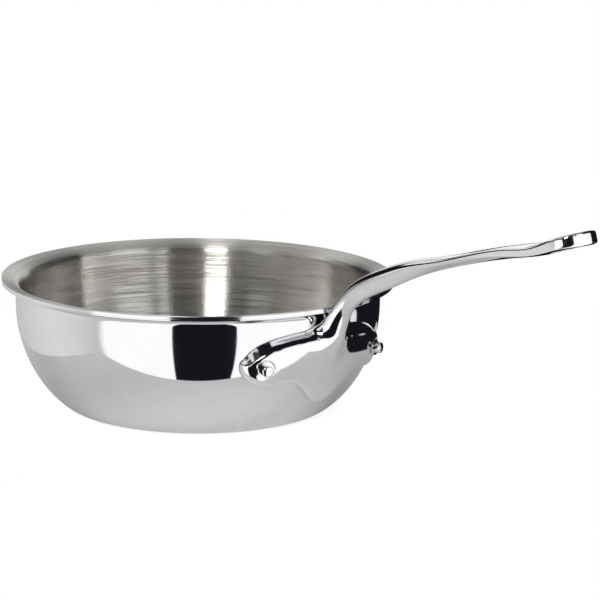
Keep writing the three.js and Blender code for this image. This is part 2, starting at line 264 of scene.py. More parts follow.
def tinted(tree, shader, value, dark, light):
    """The metal's colour, drifting between two tones."""
    tone = node(tree, "ShaderNodeMix", {"Factor": drift(tree, value, 0.0, 1.0)}, data_type="RGBA")
    tone.inputs["A"].default_value = (*dark, 1.0)
    tone.inputs["B"].default_value = (*light, 1.0)
    tree.links.new(tone.outputs["Result"], shader.inputs["Base Color"])


def buffed(tree, shader, dark, light, gloss, swell, height):
    """A polished finish: tone and gloss drift, and the surface swells a little from place to place."""
    place = node(tree, "ShaderNodeTexCoord").outputs["Object"]
    haze = noise(tree, place, 3.1 / swell, 5.0)
    tinted(tree, shader, haze, dark, light)
    tree.links.new(drift(tree, haze, *gloss), shader.inputs["Roughness"])
    swells = noise(tree, place, 1.0 / swell, 1.0)
    bump = node(tree, "ShaderNodeBump", {"Height": swells, "Strength": 1.0, "Distance": height})
    tree.links.new(bump.outputs[0], shader.inputs["Normal"])


def ground(tree, shader, dark, light, gloss, pitch):
    """A cut edge: fine lines, a pitch apart, that the grinding wheel leaves round the rim."""
    place = node(tree, "ShaderNodeTexCoord").outputs["Object"]
    drawn = {0: place, 1: (60.0, 60.0, 1.0 / pitch)}
    drawn = node(tree, "ShaderNodeVectorMath", drawn, operation="MULTIPLY").outputs[0]
    lines = noise(tree, drawn, 1.0, 3.0)
    tinted(tree, shader, lines, dark, light)
    tree.links.new(drift(tree, lines, *gloss), shader.inputs["Roughness"])


polished_steel, marks, shader = metal("polished_steel", (0.72, 0.72, 0.735), 0.05)
buffed(marks, shader, (0.705, 0.705, 0.722), (0.735, 0.735, 0.748), (0.035, 0.065), 26 * MM, 0.045 * MM)
alloy, marks, shader = metal("alloy_ply", (0.68, 0.68, 0.70), 0.12)
ground(marks, shader, (0.62, 0.62, 0.64), (0.72, 0.72, 0.74), (0.09, 0.17), 0.12 * MM)
aluminium, marks, shader = metal("aluminium_core", (0.76, 0.765, 0.775), 0.12)
ground(marks, shader, (0.72, 0.725, 0.735), (0.80, 0.805, 0.815), (0.08, 0.15), 0.2 * MM)

# The inner skin's brush lines run round the pan, as pitch across the lines and length along the turn.
FINE_LINES = (0.75 * MM, 0.3)
BROAD_LINES = (2.4 * MM, 0.6)
SCRATCHES = (0.13 * MM, 0.5)
SCRATCH_LEAN = 2.9
SATIN_FROM = 67.5 * MM
SATIN_FULL = 70.5 * MM
SATIN_ROUGHNESS = 0.2
brushed_steel, marks, shader = metal("brushed_steel", (0.70, 0.68, 0.65), 0.22)
place = node(marks, "ShaderNodeTexCoord").outputs["Object"]
round_way = node(marks, "ShaderNodeVectorMath", {0: (0.0, 0.0, 1.0), 1: place}, operation="CROSS_PRODUCT")
round_way = node(marks, "ShaderNodeVectorMath", {0: round_way.outputs[0]}, operation="NORMALIZE").outputs[0]
marks.links.new(round_way, shader.inputs["Tangent"])
shader.inputs["Anisotropic"].default_value = 1.0
shader.inputs["Anisotropic Rotation"].default_value = 0.25
apart = node(marks, "ShaderNodeSeparateXYZ", {0: place})
flat = node(marks, "ShaderNodeCombineXYZ", {0: apart.outputs[0], 1: apart.outputs[1]}).outputs[0]
radius = node(marks, "ShaderNodeVectorMath", {0: flat}, operation="LENGTH").outputs["Value"]
heading = node(marks, "ShaderNodeSeparateXYZ", {0: round_way})


def brush_lines(pitch, length):
    """Noise drawn out round the pan: lines a pitch apart that fade along a length of turn."""
    across = calc(marks, "DIVIDE", radius, pitch)
    up = calc(marks, "DIVIDE", apart.outputs[2], pitch)
    turn_x = calc(marks, "DIVIDE", heading.outputs[0], length)
    turn_y = calc(marks, "DIVIDE", heading.outputs[1], length)
    drawn_out = node(marks, "ShaderNodeCombineXYZ", {0: across, 1: up, 2: turn_x}).outputs[0]
    grain = {"Vector": drawn_out, "W": turn_y, "Scale": 1.0, "Detail": 3.0}
    return node(marks, "ShaderNodeTexNoise", grain, noise_dimensions="4D").outputs["Fac"]


fine_lines = brush_lines(*FINE_LINES)
broad_lines = brush_lines(*BROAD_LINES)
both_lines = calc(marks, "MULTIPLY", calc(marks, "ADD", fine_lines, broad_lines), 0.5)
tinted(marks, shader, both_lines, (0.60, 0.583, 0.557), (0.80, 0.777, 0.743))
lip_part = {"Value": apart.outputs[2], "From Min": SATIN_FROM, "From Max": SATIN_FULL}
satin = node(marks, "ShaderNodeMapRange", {**lip_part, "To Min": 0.0, "To Max": SATIN_ROUGHNESS}).outputs[0]
marks.links.new(calc(marks, "ADD", drift(marks, fine_lines, 0.20, 0.25), satin), shader.inputs["Roughness"])

# The brush's scratches lean the surface up and down across the lines, and never along them.
facing = node(marks, "ShaderNodeNewGeometry").outputs["Normal"]
across_lines = node(marks, "ShaderNodeVectorMath", {0: facing, 1: round_way}, operation="CROSS_PRODUCT")
scratches = calc(marks, "SUBTRACT", brush_lines(*SCRATCHES), 0.5)
leaning = {0: across_lines.outputs[0], "Scale": calc(marks, "MULTIPLY", scratches, SCRATCH_LEAN)}
leaning = node(marks, "ShaderNodeVectorMath", leaning, operation="SCALE").outputs[0]
scratched = node(marks, "ShaderNodeVectorMath", {0: facing, 1: leaning}, operation="ADD").outputs[0]
scratched = node(marks, "ShaderNodeVectorMath", {0: scratched}, operation="NORMALIZE").outputs[0]
marks.links.new(scratched, shader.inputs["Normal"])

# Each ply from the outside in: its node, its thickness, its metal and that metal's slot.
plies = [
    ("outer_steel_skin", 0.5, polished_steel, "polished_steel"),
    ("outer_alloy_ply", 0.35, alloy, "alloy_ply"),
    ("aluminium_core", 0.9, aluminium, "aluminium_core"),
    ("inner_alloy_ply", 0.35, alloy, "alloy_ply"),
    ("inner_steel_skin", 0.5, brushed_steel, "brushed_steel"),
]
depth = 0.0
clad_ply = None
for name, thick, finish, slot in plies:
    ply_sizes = {
        "Base radius": BASE_RADIUS * MM,
        "Wall radius": WALL_RADIUS * MM,
        "Lip radius": LIP_RADIUS * MM,
        "Curve height": SIDE_CURVE_HEIGHT * MM,
        "Curve foot": SIDE_CURVE_FOOT * MM,
        "Curve head": SIDE_CURVE_HEAD * MM,
        "Bend radius": LIP_BEND_RADIUS * MM,
        "Bend centre radius": BEND_CENTRE[0] * MM,
        "Bend centre height": BEND_CENTRE[1] * MM,
        "Lip rise": LIP_RISE,
        "Lip underside": LIP_UNDERSIDE * MM,
        "Depth": depth * MM,
        "Thickness": thick * MM,
        "Side steps": SIDE_STEPS,
        "Round steps": ROUND_STEPS,
        "Finish": finish,
    }
    clad_ply = clad_ply or ply_tree(ply_sizes)
    ply = made_by(clad_ply, f"{name}_sheet", ply_sizes)
    ply.data.set_sharp_from_angle(angle=SHARP_EDGE)
    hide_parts(name)
    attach(ply, "root")
    depth += thick + BOND_GAP

# Handle
# One steel casting, ground and polished: a winged flange that hugs the wall, a bent stem that grows out of
# it under the lip, and a flat grip with a hanging eye. Two rivets through the wings hold it.

# Middle of each section (radius, height), its width and thickness, how far its upright sides run down
# from the top edge, how much the top is crowned and how far its top edges are rounded over.
STEM_SECTIONS = np.array([
    (95.74, 45.08, 18.0, 14.0, 7.0, 2.5, 1.6),
    (103.65, 54.50, 18.0, 14.0, 7.0, 2.5, 1.6),
    (112.2, 69.7, 13.6, 9.6, 5.0, 1.8, 2.0),
    (126.5, 83.6, 13.0, 10.4, 4.5, 1.6, 2.6),
    (142.4, 91.5, 13.5, 11.0, 4.0, 2.0, 3.0),
    (159.9, 99.0, 14.3, 9.4, 3.5, 2.1, 2.8),
    (183.6, 106.4, 17.4, 6.4, 3.3, 1.6, 2.2),
    (206.9, 113.1, 20.6, 5.9, 3.2, 0.8, 1.4),
    (232.0, 119.2, 23.8, 5.9, 4.2, 0.3, 1.1),
    (248.0, 122.7, 25.1, 5.4, 4.4, 0.2, 1.2),
    (260.0, 127.4, 26.2, 6.4, 5.4, 0.2, 1.4),
    (272.4, 131.6, 27.4, 7.0, 6.0, 0.3, 1.6),
])
TIP_ROUND = 15.0
TIP_SQUARENESS = 2.35
EYE_WIDTH = 9.0
EYE_LENGTH = 18.0
EYE_FROM_TIP = 17.0
EYE_EDGE = 1.4
KEEL_EDGE = 1.4
STEM_FILLET = 6.5

# Turning points of half the flange's outline: how far across from the middle, and how far below the lip.
FLANGE_HALF = np.array([
    (8.2, 50.6), (15.2, 44.6), (19.6, 41.2), (26.5, 39.0), (39.5, 40.0),
    (51.2, 36.0), (55.2, 28.2), (46.5, 19.4), (22.0, 13.2),
])
SHIELD_BOTTOM = 54.0
FLANGE_THICK = 6.3
SHIELD_THICK = 7.0
ARM_END = 55.2
ARM_TAPER_FROM = 37.0
ARM_END_THICK = 3.0
ARM_CHIN_THICK = 4.4
ARM_CHIN_FROM = 28.2
ARM_CHIN_FULL = 36.0
FLANGE_EDGE = 2.4
ARM_END_EDGE = 7.0
TOP_SLOPE = 0.6
TOP_CHAMFER = 5.1
CHAMFER_EDGE = 0.6
# How squarely an edge of the outline faces up where its chamfer begins, and where it is whole.
CHAMFER_FROM = 0.35
CHAMFER_FULL = 0.8
FIT_GAP = 0.3
CUT_EDGE = 0.3
RIVET_HEIGHT = PAN_HEIGHT - 30.3
RIVET_SPACING = 80.6
HOLE_RADIUS = 3.05
SEAT_RADIUS = 5.2
SEAT_STANDOFF = 5.8
HOLE_DEPTH = 40.0
# Further out or higher than these there is no flange and no pan.
FLANGE_LIMIT = (128.0, 80.0)
ROOM_LIMIT = (120.0, 80.0)
FAR_OFF = 1e3
GRID_LOW = np.array([80.0, -57.0, 15.0])
GRID_HIGH = np.array([275.0, 57.0, 138.0])
CELL = 0.55
SETTLE_ROUNDS = 3


def spline(knots, values, at):
    """A natural cubic spline through the values at the knots."""
    gaps = np.diff(knots)[:, None]
    rates = np.diff(values, axis=0) / gaps
    count = len(knots)
    grid = np.eye(count)
    right = np.zeros_like(values)
    for i in range(1, count - 1):
        grid[i, i - 1 : i + 2] = gaps[i - 1, 0], 2 * (gaps[i - 1, 0] + gaps[i, 0]), gaps[i, 0]
        right[i] = 6 * (rates[i] - rates[i - 1])
    bends = np.linalg.solve(grid, right)
    i = np.clip(np.searchsorted(knots, at) - 1, 0, count - 2)
    run = (at - knots[i])[:, None]
    gap = gaps[i]
    slope = rates[i] - gap * (2 * bends[i] + bends[i + 1]) / 6
    return values[i] + run * (slope + run * (bends[i] / 2 + run * (bends[i + 1] - bends[i]) / (6 * gap)))


def smooth_max(a, b, round_over):
    """The greater of two distances, with the edge between them rounded over."""
    near = np.maximum(round_over - np.abs(a - b), 0.0) / round_over
    return np.maximum(a, b) + near * near * round_over / 4


def ease(low, high, at):
    """A smooth step from nought at low to one at high."""
    t = np.clip((at - low) / (high - low), 0.0, 1.0)
    return t * t * (3 - 2 * t)


def from_table(table, u, v):
    """Smooth values out of a table at places counted in its own steps."""
    i = np.clip(np.floor(u).astype(int), 1, table.shape[0] - 3)
    j = np.clip(np.floor(v).astype(int), 1, table.shape[1] - 3)
    f, g = np.clip(u - i, -0.5, 1.5), np.clip(v - j, -0.5, 1.5)

    def shares(t):
        return (
            ((-t + 2) * t - 1) * t / 2,
            ((3 * t - 5) * t * t + 2) / 2,
            ((-3 * t + 4) * t + 1) * t / 2,
            (t - 1) * t * t / 2,
        )

    total = 0.0
    for a, share in enumerate(shares(f)):
        row = 0.0
        for b, part in enumerate(shares(g)):
            row = row + part * table[i + a - 1, j + b - 1]
        total = total + share * row
    return total


def outline_distance(points, u, v):
    """Signed distance to a closed outline, negative inside, on the grid of places u by v."""
    ends = np.roll(points, -1, axis=0)
    pu, pv = (a.ravel()[:, None] for a in np.meshgrid(u, v, indexing="ij"))
    nearest = np.empty(len(pu))
    inside = np.zeros(len(pu), dtype=bool)
    steps = ends - points
    lengths = (steps**2).sum(axis=1)
    for k in range(0, len(pu), 4096):
        part = slice(k, k + 4096)
        du, dv = pu[part] - points[:, 0], pv[part] - points[:, 1]
        along = np.clip((du * steps[:, 0] + dv * steps[:, 1]) / lengths, 0, 1)
        nearest[part] = np.hypot(du - along * steps[:, 0], dv - along * steps[:, 1]).min(axis=1)
        crosses = (points[:, 1] > pv[part]) != (ends[:, 1] > pv[part])
        with np.errstate(divide="ignore", invalid="ignore"):
            hit = points[:, 0] + (pv[part] - points[:, 1]) * steps[:, 0] / steps[:, 1]
        inside[part] = (crosses & (pu[part] < hit)).sum(axis=1) % 2 == 1
    return np.where(inside, -nearest, nearest).reshape(len(u), len(v))


# The stem's middle line, and its sizes along it
chords = np.hypot(*np.diff(STEM_SECTIONS[:, :2], axis=0).T)
knots = np.concatenate([[0.0], np.cumsum(chords)])
fine = np.linspace(0, knots[-1], 2000)
stem_line = spline(knots, STEM_SECTIONS, fine)
stem_along = np.gradient(stem_line[:, :2], axis=0)
stem_reach = np.concatenate([[0.0], np.cumsum(np.hypot(*np.diff(stem_line[:, :2], axis=0).T))])
stem_along /= np.hypot(*stem_along.T)[:, None]
stem_length = stem_reach[-1]

# Which place along the middle line is nearest, in a table over (radius, height)
near_r = np.arange(78.0, 286.0, 1.0)
near_z = np.arange(14.0, 146.0, 1.0)
near_grid = np.stack(np.meshgrid(near_r, near_z, indexing="ij"), axis=-1).reshape(-1, 1, 2)
nearest_place = np.concatenate([
    (((near_grid[k : k + 2048] - stem_line[::4, :2]) ** 2).sum(axis=2)).argmin(axis=1) * 4
    for k in range(0, len(near_grid), 2048)
]).reshape(len(near_r), len(near_z))


def stem_at(place):
    """The stem's middle line, its heading and how far along it is, at places counted in its fine steps."""
    k = np.clip(place, 0, len(fine) - 1.001)
    low = k.astype(int)
    part = (k - low)[:, None]
    at = stem_line[low] * (1 - part) + stem_line[low + 1] * part
    along = stem_along[low] * (1 - part) + stem_along[low + 1] * part
    reach = stem_reach[low] * (1 - part[:, 0]) + stem_reach[low + 1] * part[:, 0]
    return at, along, reach


def stem_distance(x, y, z):
    """Distances to the stem's bar and to the hanging eye through it."""
    i = np.clip(np.rint(x - near_r[0]).astype(int), 0, len(near_r) - 1)
    j = np.clip(np.rint(z - near_z[0]).astype(int), 0, len(near_z) - 1)
    place = nearest_place[i, j].astype(float)
    step = stem_length / (len(fine) - 1)
    for _ in range(4):
        at, along, reach = stem_at(place)
        ahead = (x - at[:, 0]) * along[:, 0] + (z - at[:, 1]) * along[:, 1]
        place = place + 0.8 * ahead / step
    at, along, reach = stem_at(place)
    ahead = (x - at[:, 0]) * along[:, 0] + (z - at[:, 1]) * along[:, 1]
    reach = reach + ahead
    up = (z - at[:, 1]) * along[:, 0] - (x - at[:, 0]) * along[:, 1]
    half_wide, half_thick = at[:, 2] / 2, at[:, 3] / 2
    side, crown, edge = at[:, 4:].T
    off = y / half_wide
    top = up - half_thick + crown * off * off
    top = top / np.sqrt(1 + (2 * crown * off / half_wide) ** 2)
    keel = 2 * half_thick - side
    under = -up - half_thick + keel * off * off
    under = under / np.sqrt(1 + (2 * keel * off / half_wide) ** 2)
    past = np.maximum(reach - (stem_length - TIP_ROUND), 0.0) / TIP_ROUND
    plan = (past**TIP_SQUARENESS + np.abs(off) ** TIP_SQUARENESS) ** (1 / TIP_SQUARENESS)
    flank = (plan - 1) * half_wide
    rod = smooth_max(smooth_max(flank, top, edge), under, KEEL_EDGE)
    run = (EYE_LENGTH - EYE_WIDTH) / 2
    eye_at = np.maximum(np.abs(reach - (stem_length - EYE_FROM_TIP)) - run, 0.0)
    eye = np.hypot(eye_at, y) - EYE_WIDTH / 2
    return rod, eye


# The pan's outside with a fitting gap, as distance in a table over (radius, height)
t = np.linspace(0, 1, 80)[:, None]
side_line = (
    (1 - t) ** 3 * np.array([BASE_RADIUS, 0.0])
    + 3 * t * (1 - t) ** 2 * np.array([BASE_RADIUS + SIDE_CURVE_FOOT, 0.0])
    + 3 * t**2 * (1 - t) * np.array([WALL_RADIUS, SIDE_CURVE_HEIGHT - SIDE_CURVE_HEAD])
    + t**3 * np.array([WALL_RADIUS, SIDE_CURVE_HEIGHT])
)
turns = np.linspace(math.pi, math.pi / 2 + LIP_RISE, 24)[:, None]
bend_line = np.array(BEND_CENTRE) + LIP_BEND_RADIUS * np.hstack([np.cos(turns), np.sin(turns)])
lip_line = np.array([(LIP_RADIUS, LIP_UNDERSIDE), (LIP_RADIUS, PAN_HEIGHT), (0.0, PAN_HEIGHT), (0.0, 0.0)])
room_line = np.vstack([side_line, bend_line, lip_line])
ROOM_STEP = 0.25
room_r = np.arange(80.0, 122.0, ROOM_STEP)
room_z = np.arange(12.0, 82.0, ROOM_STEP)
room_table = outline_distance(room_line, room_r, room_z)

# The flange's outline in a table, drawn flat: across by drop
flange_points = np.vstack([[(0.0, SHIELD_BOTTOM)], FLANGE_HALF, FLANGE_HALF[::-1] * (-1, 1)])
wrapped = np.vstack([flange_points[-4:], flange_points, flange_points[:5]])
flange_knots = np.concatenate([[0.0], np.cumsum(np.sqrt(np.hypot(*np.diff(wrapped, axis=0).T)))])
flange_at = np.linspace(flange_knots[4], flange_knots[4 + len(flange_points)], 700, endpoint=False)
flange_line = spline(flange_knots, wrapped, flange_at)
FLANGE_STEP = 0.25
flange_u = np.arange(-2.0, 66.0, FLANGE_STEP)
flange_v = np.arange(2.0, 66.0, FLANGE_STEP)
flange_table = outline_distance(flange_line, flange_u, flange_v)
rivet_wall = np.interp(RIVET_HEIGHT, side_line[:, 1], side_line[:, 0])
face_radius = rivet_wall + FLANGE_THICK
rivet_angle = math.asin(RIVET_SPACING / 2 / face_radius)


def flange_distance(x, y, z):
    """Distance to the winged flange, rounded over at its edges and chamfered along its top."""
    radius = np.hypot(x, y)
    across = np.abs(np.arctan2(y, x)) * face_radius
    drop = PAN_HEIGHT - z
    wall = np.interp(z, side_line[:, 1], side_line[:, 0])
    standoff = radius - wall
    u, v = (across - flange_u[0]) / FLANGE_STEP, (drop - flange_v[0]) / FLANGE_STEP
    edge = from_table(flange_table, u, v)
    upness = (edge - from_table(flange_table, u, v + 1)) / FLANGE_STEP
    body = FLANGE_THICK + (SHIELD_THICK - FLANGE_THICK) * ease(PAN_HEIGHT - RIVET_HEIGHT, SHIELD_BOTTOM, drop)
    end = ARM_END_THICK + (ARM_CHIN_THICK - ARM_END_THICK) * ease(ARM_CHIN_FROM, ARM_CHIN_FULL, drop)
    taper = np.maximum(across - ARM_TAPER_FROM, 0.0) / (ARM_END - ARM_TAPER_FROM)
    thick = body + (end - body) * taper**2
    face = standoff - thick
    round_over = FLANGE_EDGE + (ARM_END_EDGE - FLANGE_EDGE) * ease(ARM_TAPER_FROM, ARM_END, across)
    rounded = smooth_max(edge, face, round_over)
    top = (edge + TOP_SLOPE * (standoff - FIT_GAP)) / math.hypot(1, TOP_SLOPE)
    chamfer = (face + TOP_CHAMFER + edge) / math.sqrt(2)
    dressed = smooth_max(smooth_max(chamfer, face, CHAMFER_EDGE), top, CHAMFER_EDGE)
    return rounded + (dressed - rounded) * ease(CHAMFER_FROM, CHAMFER_FULL, upness)


def handle_distance(points):
    """Distance to the whole casting: stem and flange run together, less the eye, the pan and the rivets."""
    x, y, z = points.T
    rod, eye = stem_distance(x, y, z)
    near_flange = (x < FLANGE_LIMIT[0]) & (z < FLANGE_LIMIT[1])
    wing = np.where(near_flange, flange_distance(x, y, z), FAR_OFF)
    casting = -smooth_max(-rod, -wing, STEM_FILLET)
    casting = smooth_max(casting, -eye, EYE_EDGE)
    radius = np.hypot(x, y)
    room = from_table(room_table, (radius - room_r[0]) / ROOM_STEP, (z - room_z[0]) / ROOM_STEP) - FIT_GAP
    room = np.where((radius < ROOM_LIMIT[0]) & (z < ROOM_LIMIT[1]), room, FAR_OFF)
    casting = smooth_max(casting, -room, CUT_EDGE)
    turn = np.abs(np.arctan2(y, x)) - rivet_angle
    out = radius * np.cos(turn) - rivet_wall
    from_axis = np.hypot(radius * np.sin(turn), z - RIVET_HEIGHT)
    seat = np.maximum(from_axis - SEAT_RADIUS, SEAT_STANDOFF - out)
    hole = np.where(out > -HOLE_DEPTH, from_axis - HOLE_RADIUS, FAR_OFF)
    return smooth_max(smooth_max(casting, -seat, CUT_EDGE), -hole, CUT_EDGE)


def slope_of(points, step=0.03):
    """Which way the distance to the casting grows, and how fast."""
    slopes = np.empty_like(points)
    for axis in range(3):
        ahead, behind = points.copy(), points.copy()
        ahead[:, axis] += step
        behind[:, axis] -= step
        slopes[:, axis] = (handle_distance(ahead) - handle_distance(behind)) / (2 * step)
    return slopes


def untangle(field):
    """Trim the corners where the skin would touch itself along a grid edge."""
    found = True
    while found:
        found = False
        inside = field < 0
        for b, c in ((0, 1), (1, 2), (2, 0)):
            def corner(shift_b, shift_c):
                cut = [slice(None)] * 3
                cut[b] = slice(shift_b, field.shape[b] - 1 + shift_b)
                cut[c] = slice(shift_c, field.shape[c] - 1 + shift_c)
                return inside[tuple(cut)]

            first, last = corner(0, 0), corner(1, 1)
            left, right = corner(1, 0), corner(0, 1)
            for place in np.argwhere((first == last) & (left == right) & (first != left)):
                if not inside[tuple(place)]:
                    place[b] += 1
                field[tuple(place)] = 0.01
                found = True


def skinned(distance, low, high, cell):
    """Points and four-sided faces of the skin where a distance is nought, found on a grid of cells."""
    block = 8
    counts = np.ceil((high - low) / (cell * block)).astype(int)
    corners = np.stack(np.meshgrid(*(np.arange(n) for n in counts), indexing="ij"), axis=-1).reshape(-1, 3)
    middles = low + (corners + 0.5) * block * cell
    coarse = distance(middles)
    field = np.where(coarse < 0, -1.0, 1.0).reshape(counts)
    for axis in range(3):
        field = np.repeat(field, block, axis=axis)
    spots = np.stack(np.meshgrid(*(np.arange(block),) * 3, indexing="ij"), axis=-1).reshape(-1, 3)
    kept = corners[np.abs(coarse) < 1.6 * block * cell]
    for k in range(0, len(kept), 400):
        index = (kept[k : k + 400, None] * block + spots).reshape(-1, 3)
        field[tuple(index.T)] = distance(low + index * cell)
    untangle(field)
    inside = field < 0
    shape = np.array(field.shape)
    quads, weights, cells = [], [], []
    for axis in range(3):
        b, c = (axis + 1) % 3, (axis + 2) % 3
        near = [slice(None)] * 3
        far = [slice(None)] * 3
        near[axis], far[axis] = slice(0, -1), slice(1, None)
        at = np.argwhere(inside[tuple(near)] != inside[tuple(far)])
        ahead = at.copy()
        ahead[:, axis] += 1
        here, there = field[tuple(at.T)], field[tuple(ahead.T)]
        hit = at.astype(float)
        hit[:, axis] += here / (here - there)
        ring = []
        for db, dc in ((0, 0), (1, 0), (1, 1), (0, 1)):
            around = at.copy()
            around[:, b] -= db
            around[:, c] -= dc
            ring.append(np.ravel_multi_index(around.T, shape))
            cells.append(ring[-1])
            weights.append(hit)
        ring = np.stack(ring, axis=1)
        quads.append(np.where((here < 0)[:, None], ring, ring[:, ::-1]))
    cells, weights, quads = np.concatenate(cells), np.concatenate(weights), np.concatenate(quads)
    used, place = np.unique(cells, return_inverse=True)
    total = np.bincount(place)
    points = np.stack([np.bincount(place, weights[:, axis]) / total for axis in range(3)], axis=1)
    return low + points * cell, np.searchsorted(used, quads)


def settled(points, quads, distance, rounds):
    """The skin's points spread evenly and laid on the surface."""
    ends = np.concatenate([quads[:, [i, (i + 1) % 4]] for i in range(4)])
    count = np.bincount(ends[:, 0], minlength=len(points))
    for _ in range(rounds):
        sums = [np.bincount(ends[:, 0], points[ends[:, 1], axis], len(points)) for axis in range(3)]
        middle = np.stack(sums, axis=1) / count[:, None]
        points = points + 0.6 * (middle - points)
        for _ in range(2):
            slopes = slope_of(points)
            steep = np.maximum((slopes**2).sum(axis=1), 0.2)
            move = (distance(points) / steep)[:, None] * slopes
            points = points - np.clip(move, -CELL, CELL)
    return points


handle_points, handle_faces = skinned(handle_distance, GRID_LOW, GRID_HIGH, CELL)
handle_points = settled(handle_points, handle_faces, handle_distance, SETTLE_ROUNDS)
handle_normals = slope_of(handle_points)
handle_normals /= np.linalg.norm(handle_normals, axis=1)[:, None]
casting = bpy.data.meshes.new("cast_handle")
casting.from_pydata((handle_points * MM).tolist(), [], handle_faces.tolist())
casting.shade_smooth()
casting.normals_split_custom_set_from_vertices(handle_normals.tolist())
handle = bpy.data.objects.new("cast_handle", casting)
bpy.context.collection.objects.link(handle)
cast_steel, marks, shader = metal("cast_steel", (0.74, 0.74, 0.75), 0.06)
buffed(marks, shader, (0.725, 0.725, 0.737), (0.755, 0.755, 0.763), (0.045, 0.085), 9 * MM, 0.02 * MM)
casting.materials.append(cast_steel)
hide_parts("handle")
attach(handle, "root")

# Rivets
# Two steel rivets through the flange's wings and the wall. Inside the pan each has a low domed head that
# follows the wall, and outside its end is formed into a button on a thin brim.

RIVET_ROUND = 48
LINE_STEPS = 2
HEAD_STEPS = 13
CROWN_STEPS = 17
INSIDE_WALL = -1.0
rivet_slope = np.interp(RIVET_HEIGHT, side_line[:, 1], np.gradient(side_line[:, 0], side_line[:, 1]))
rivet_sizes = {
    "Shank radius": 2.75 * MM,
    "Head radius": 5.5 * MM,
    "Head foot": -(SHEET_THICK + FIT_GAP) * MM,
    "Head height": 2.0 * MM,
    "Brim radius": 4.2 * MM,
    "Brim foot": (SEAT_STANDOFF + FIT_GAP) * MM,
    "Brim height": 1.0 * MM,
    "Button radius": 3.0 * MM,
    "Button side": 2.9 * MM,
    "Button crown": 0.9 * MM,
    "Wall radius": rivet_wall * MM,
    "Wall slope": float(rivet_slope),
    "Height": RIVET_HEIGHT * MM,
    "Angle": rivet_angle,
    "Round steps": RIVET_ROUND,
}
rivet_steel, marks, shader = metal("rivet_steel", (0.74, 0.74, 0.75), 0.08)
buffed(marks, shader, (0.72, 0.72, 0.732), (0.76, 0.76, 0.768), (0.06, 0.11), 2.5 * MM, 0.008 * MM)
rivet_sizes["Finish"] = rivet_steel


def dome(tree, rim, foot, height, start, steps):
    """A dome's profile, a quarter of an ellipse that starts at an angle."""
    arc = node(
        tree,
        "GeometryNodeCurveArc",
        {"Resolution": steps, "Radius": 1.0, "Start Angle": start, "Sweep Angle": math.pi / 2},
        mode="RADIUS",
    )
    size = node(tree, "ShaderNodeCombineXYZ", {0: rim, 1: height, 2: 1.0}).outputs[0]
    placed = {"Geometry": arc.outputs[0], "Translation": spot(tree, 0.0, foot), "Scale": size}
    return node(tree, "GeometryNodeTransform", placed).outputs[0]


def rivet_tree(sizes):
    """Both rivets: one turned shape, its inner head leaned to the wall, set at two angles."""
    tree, size = new_tree("Rivets", sizes)
    brim_top = calc(tree, "ADD", size["Brim foot"], size["Brim height"])
    crown_foot = calc(tree, "ADD", brim_top, size["Button side"])
    corners = [
        (size["Head radius"], size["Head foot"]),
        (size["Shank radius"], size["Head foot"]),
        (size["Shank radius"], size["Brim foot"]),
        (size["Brim radius"], size["Brim foot"]),
        (size["Brim radius"], brim_top),
        (size["Button radius"], brim_top),
        (size["Button radius"], crown_foot),
    ]
    spots = [spot(tree, *corner) for corner in corners]
    profile = join(
        tree,
        dome(tree, size["Head radius"], size["Head foot"], size["Head height"], -math.pi / 2, HEAD_STEPS),
        *(line(tree, a, b, LINE_STEPS) for a, b in zip(spots, spots[1:])),
        dome(tree, size["Button radius"], crown_foot, size["Button crown"], 0.0, CROWN_STEPS),
    )
    solid = turned(tree, profile, size["Round steps"])
    at = node(tree, "ShaderNodeSeparateXYZ", {0: tree.nodes.new("GeometryNodeInputPosition").outputs[0]})
    in_pan = calc(tree, "LESS_THAN", at.outputs[2], INSIDE_WALL * MM)
    lean = calc(tree, "MULTIPLY", calc(tree, "MULTIPLY", at.outputs[0], size["Wall slope"]), in_pan)
    shift = node(tree, "ShaderNodeCombineXYZ", {2: calc(tree, "MULTIPLY", lean, -1.0)}).outputs[0]
    seated = node(tree, "GeometryNodeSetPosition", {"Geometry": solid, "Offset": shift})
    hole = node(tree, "ShaderNodeCombineXYZ", {0: size["Wall radius"], 2: size["Height"]}).outputs[0]
    laid = {"Geometry": seated.outputs[0], "Rotation": (0.0, math.pi / 2, 0.0), "Translation": hole}
    placed = node(tree, "GeometryNodeTransform", laid)
    pair = node(tree, "GeometryNodeMeshLine", {"Count": 2, "Offset": (0.0, 0.0, 0.0)})
    side = calc(tree, "MULTIPLY_ADD", tree.nodes.new("GeometryNodeInputIndex").outputs[0], 2.0)
    side.node.inputs[2].default_value = -1.0
    turn = node(tree, "ShaderNodeCombineXYZ", {2: calc(tree, "MULTIPLY", side, size["Angle"])}).outputs[0]
    set_out = {"Points": pair.outputs[0], "Instance": placed.outputs[0], "Rotation": turn}
    both = node(tree, "GeometryNodeInstanceOnPoints", set_out)
    solid = node(tree, "GeometryNodeRealizeInstances", {"Geometry": both.outputs[0]})
    smooth = node(tree, "GeometryNodeSetShadeSmooth", {"Geometry": solid.outputs[0]})
    steel = node(tree, "GeometryNodeSetMaterial", {"Geometry": smooth.outputs[0], "Material": size["Finish"]})
    end = tree.nodes.new("NodeGroupOutput")
    tree.links.new(steel.outputs[0], end.inputs[0])
    return tree


rivets = made_by(rivet_tree(rivet_sizes), "rivets", rivet_sizes)
rivets.data.set_sharp_from_angle(angle=SHARP_EDGE)
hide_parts("rivet_left", "rivet_right")
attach(rivets, "root")

